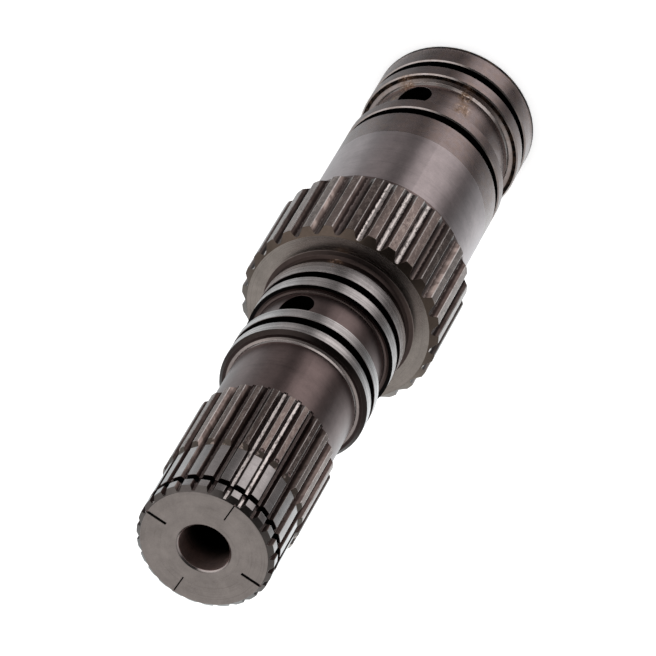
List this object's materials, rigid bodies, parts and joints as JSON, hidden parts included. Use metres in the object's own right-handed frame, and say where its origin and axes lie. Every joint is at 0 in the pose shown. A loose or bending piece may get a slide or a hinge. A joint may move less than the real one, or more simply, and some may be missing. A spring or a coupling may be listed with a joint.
{
  "type": "power take-off shaft",
  "caption": "Stepped steel shaft with a splined end, a toothed ring at mid length, a ground journal and grooved oil lands with cross drillings.",
  "frame": {"origin": "centre of the plain end face that the shaft stands on", "axes": "+Z along the shaft's axis, from the plain end up to the small splined end; the oil drillings open at 38.4 degrees from +X towards +Y"},
  "size_m": [0.0598, 0.0598, 0.2368],
  "materials": {
    "shaft_steel": "dark oiled steel, ground bright on the lands, the journal and part of the small spline"
  },
  "bodies": {
    "root": {"pto_shaft": "shaft_steel"}
  },
  "joints": []
}
